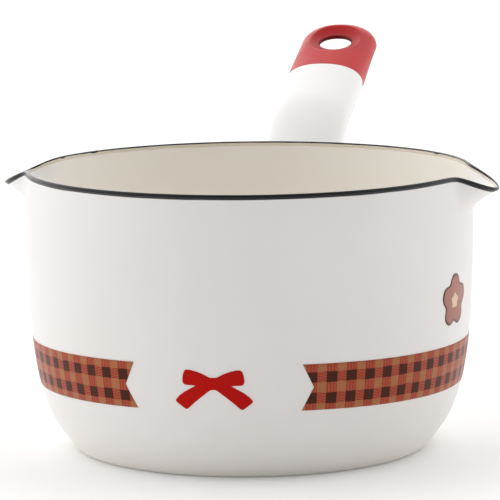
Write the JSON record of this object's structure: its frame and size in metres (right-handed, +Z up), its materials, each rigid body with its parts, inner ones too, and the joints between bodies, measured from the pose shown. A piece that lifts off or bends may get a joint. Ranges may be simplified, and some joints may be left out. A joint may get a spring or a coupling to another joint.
{
  "type": "enamelled pouring pan",
  "caption": "White enamelled steel milk pan with two pouring spouts, black rim, red-ended hollow handle and printed gingham ribbon, used to melt and pour wax.",
  "frame": {"origin": "centre of the flat underside of the base", "axes": "+Z up out of the open top, +Y along the handle, spouts along +X and -X"},
  "size_m": [0.1738, 0.2588, 0.1315],
  "materials": {
    "white_enamel": "satin white vitreous enamel",
    "black_enamel": "gloss black enamel",
    "red_enamel": "satin red enamel",
    "ribbon_print": "printed gingham transfer, fired",
    "bow_print": "printed transfer, fired",
    "flower_print": "printed transfer, fired"
  },
  "bodies": {
    "root": {"pan_body": "white_enamel", "rim_bead": "black_enamel", "handle_bracket": "white_enamel", "handle_root_weld": "white_enamel", "handle_grip_upper": "white_enamel", "handle_grip_lower": "white_enamel", "handle_end": "red_enamel", "ribbon_print_left": "ribbon_print", "ribbon_print_right": "ribbon_print", "bow_print": "bow_print", "flower_print": "flower_print"}
  },
  "joints": []
}
